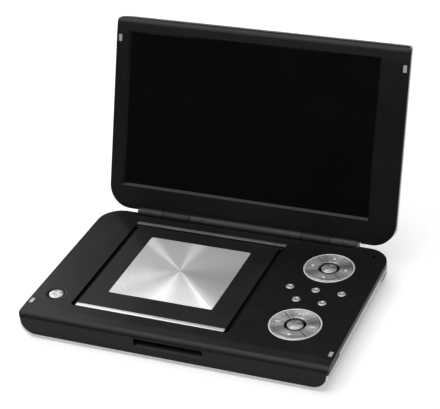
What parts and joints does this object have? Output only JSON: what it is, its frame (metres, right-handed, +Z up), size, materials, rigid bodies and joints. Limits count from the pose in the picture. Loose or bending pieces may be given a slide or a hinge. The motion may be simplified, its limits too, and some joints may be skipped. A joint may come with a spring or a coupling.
{
  "type": "portable disc player",
  "caption": "Clamshell portable disc player: flat base with a hinged disc door, round key pads and sockets, and a wide screen in a lid on a barrel hinge.",
  "frame": {"origin": "middle of the open player's box, on the surface that it stands on", "axes": "+X to the right of the person watching, +Y away from the person, +Z up"},
  "size_m": [0.2656, 0.2421, 0.1826],
  "materials": {
    "black_cover": "fine matt black paint on moulded plastic",
    "black_door": "fine matt black",
    "barrel_black": "satin black",
    "silver_shell": "fine silver paint",
    "brushed_plate": "brushed in rays from its middle",
    "bright_trim": "bright brushed",
    "grey_trim": "satin grey",
    "key_silver": "silver paint, clear coat",
    "key_ring": "bright",
    "catch_metal": "satin",
    "well_plastic": "fine dark grain",
    "screen_glass": "dark semi-gloss screen",
    "screen_module": "pale frame of the screen module",
    "sensor_dark": "dark infrared window",
    "steel": "plain sheet steel",
    "hub_plastic": "dark moulded",
    "pickup_plastic": "dark moulded",
    "lens_glass": "coated lens",
    "board": "circuit board lacquer",
    "chip": "moulded chip",
    "battery": "wrapped cells",
    "socket_plastic": "black moulded",
    "switch_plastic": "grey moulded",
    "rubber": "soft black"
  },
  "bodies": {
    "base": {"bottom_shell": "silver_shell", "top_cover": "black_cover", "disc_well": "well_plastic", "rear_trim": "grey_trim", "loader_chassis": "steel", "chassis_dampers": "rubber", "guide_rods": "steel", "spindle_motor": "steel", "feed_motor": "steel", "main_board": "board", "board_chips": "chip", "key_board": "board", "battery_pack": "battery", "battery_cover": "silver_shell", "speakers": "socket_plastic", "rubber_feet": "rubber", "base_screws": "steel", "power_inlet": "socket_plastic", "audio_jacks": "socket_plastic", "base_catch_pads": "catch_metal", "hinge_knuckles": "black_cover", "hinge_shafts": "steel", "pad_rings": "key_ring", "sensor_window": "sensor_dark"},
    "lid": {"lid_bezel": "black_cover", "lid_back_shell": "silver_shell", "lcd_frame": "screen_module", "lcd_panel": "screen_glass", "inverter_board": "board", "hinge_barrels": "barrel_black", "barrel_caps": "grey_trim", "lid_catch_pads": "catch_metal", "lid_screws": "steel"},
    "door": {"disc_door": "black_door", "door_plate": "brushed_plate", "door_front_trim": "bright_trim"},
    "hub": {"spindle_hub": "hub_plastic"},
    "screw": {"feed_screw": "steel"},
    "pickup": {"laser_pickup": "pickup_plastic", "pickup_lens": "lens_glass"},
    "door_button": {"open_button": "key_ring"},
    "latch": {"door_latch": "well_plastic"},
    "switch": {"power_switch": "switch_plastic"},
    "wheel": {"volume_wheel": "switch_plastic"},
    "subtitle_key_cap": {"subtitle_key": "key_silver"},
    "audio_key_cap": {"audio_key": "key_silver"},
    "menu_key_cap": {"menu_key": "key_silver"},
    "display_key_cap": {"display_key": "key_silver"},
    "setup_key_cap": {"setup_key": "key_silver"},
    "up_key_cap": {"up_key": "key_silver"},
    "down_key_cap": {"down_key": "key_silver"},
    "left_key_cap": {"left_key": "key_silver"},
    "right_key_cap": {"right_key": "key_silver"},
    "ok_key_cap": {"ok_key": "key_silver"},
    "play_key_cap": {"play_key": "key_silver"},
    "stop_key_cap": {"stop_key": "key_silver"},
    "previous_key_cap": {"previous_key": "key_silver"},
    "next_key_cap": {"next_key": "key_silver"},
    "zoom_key_cap": {"zoom_key": "key_silver"}
  },
  "joints": [
    {"name": "lid_hinge", "type": "hinge", "parent": "base", "child": "lid", "pos_m": [0, 0.05042, 0.0223], "axis": [-1, 0, 0], "range_deg": [-108.66, 41.34]},
    {"name": "disc_door_hinge", "type": "hinge", "parent": "base", "child": "door", "pos_m": [-0.026, 0.02816, 0.0219], "axis": [-1, 0, 0], "range_deg": [0, 65]},
    {"name": "disc_spin", "type": "hinge", "parent": "base", "child": "hub", "pos_m": [-0.026, -0.03338, 0.0156], "axis": [0, 0, 1], "continuous": true},
    {"name": "pickup_slide", "type": "slide", "parent": "base", "child": "pickup", "axis": [0, -1, 0], "range_m": [0, 0.032]},
    {"name": "feed_screw_turn", "type": "hinge", "parent": "base", "child": "screw", "pos_m": [0.001, -0.03338, 0.011], "axis": [0, 1, 0], "range_deg": [0, 3841]},
    {"name": "open_button_press", "type": "slide", "parent": "base", "child": "door_button", "axis": [0, 0, -1], "range_m": [0, 0.0012], "stiffness_N_per_m": 300, "springref_m": -0.0006},
    {"name": "door_latch_slide", "type": "slide", "parent": "base", "child": "latch", "axis": [-1, 0, 0], "range_m": [0, 0.0012]},
    {"name": "power_switch_slide", "type": "slide", "parent": "base", "child": "switch", "axis": [0, 1, 0], "range_m": [0, 0.004]},
    {"name": "volume_wheel_turn", "type": "hinge", "parent": "base", "child": "wheel", "pos_m": [0.1235, 0.02186, 0.0148], "axis": [0, 0, 1], "range_deg": [-140, 140]},
    {"name": "subtitle_key_press", "type": "slide", "parent": "base", "child": "subtitle_key_cap", "axis": [0, 0, -1], "range_m": [0, 0.0006], "stiffness_N_per_m": 350, "springref_m": -0.0004},
    {"name": "audio_key_press", "type": "slide", "parent": "base", "child": "audio_key_cap", "axis": [0, 0, -1], "range_m": [0, 0.0006], "stiffness_N_per_m": 350, "springref_m": -0.0004},
    {"name": "menu_key_press", "type": "slide", "parent": "base", "child": "menu_key_cap", "axis": [0, 0, -1], "range_m": [0, 0.0006], "stiffness_N_per_m": 350, "springref_m": -0.0004},
    {"name": "display_key_press", "type": "slide", "parent": "base", "child": "display_key_cap", "axis": [0, 0, -1], "range_m": [0, 0.0006], "stiffness_N_per_m": 350, "springref_m": -0.0004},
    {"name": "setup_key_press", "type": "slide", "parent": "base", "child": "setup_key_cap", "axis": [0, 0, -1], "range_m": [0, 0.0006], "stiffness_N_per_m": 350, "springref_m": -0.0004},
    {"name": "up_key_press", "type": "slide", "parent": "base", "child": "up_key_cap", "axis": [0, 0, -1], "range_m": [0, 0.0006], "stiffness_N_per_m": 350, "springref_m": -0.0004},
    {"name": "down_key_press", "type": "slide", "parent": "base", "child": "down_key_cap", "axis": [0, 0, -1], "range_m": [0, 0.0006], "stiffness_N_per_m": 350, "springref_m": -0.0004},
    {"name": "left_key_press", "type": "slide", "parent": "base", "child": "left_key_cap", "axis": [0, 0, -1], "range_m": [0, 0.0006], "stiffness_N_per_m": 350, "springref_m": -0.0004},
    {"name": "right_key_press", "type": "slide", "parent": "base", "child": "right_key_cap", "axis": [0, 0, -1], "range_m": [0, 0.0006], "stiffness_N_per_m": 350, "springref_m": -0.0004},
    {"name": "ok_key_press", "type": "slide", "parent": "base", "child": "ok_key_cap", "axis": [0, 0, -1], "range_m": [0, 0.0006], "stiffness_N_per_m": 350, "springref_m": -0.0004},
    {"name": "play_key_press", "type": "slide", "parent": "base", "child": "play_key_cap", "axis": [0, 0, -1], "range_m": [0, 0.0006], "stiffness_N_per_m": 350, "springref_m": -0.0004},
    {"name": "stop_key_press", "type": "slide", "parent": "base", "child": "stop_key_cap", "axis": [0, 0, -1], "range_m": [0, 0.0006], "stiffness_N_per_m": 350, "springref_m": -0.0004},
    {"name": "previous_key_press", "type": "slide", "parent": "base", "child": "previous_key_cap", "axis": [0, 0, -1], "range_m": [0, 0.0006], "stiffness_N_per_m": 350, "springref_m": -0.0004},
    {"name": "next_key_press", "type": "slide", "parent": "base", "child": "next_key_cap", "axis": [0, 0, -1], "range_m": [0, 0.0006], "stiffness_N_per_m": 350, "springref_m": -0.0004},
    {"name": "zoom_key_press", "type": "slide", "parent": "base", "child": "zoom_key_cap", "axis": [0, 0, -1], "range_m": [0, 0.0006], "stiffness_N_per_m": 350, "springref_m": -0.0004}
  ],
  "couplings": [
    {"joint": "feed_screw_turn", "follows": "pickup_slide", "rad_per_m": 2094.4},
    {"joint": "door_latch_slide", "follows": "open_button_press", "ratio": 1}
  ]
}
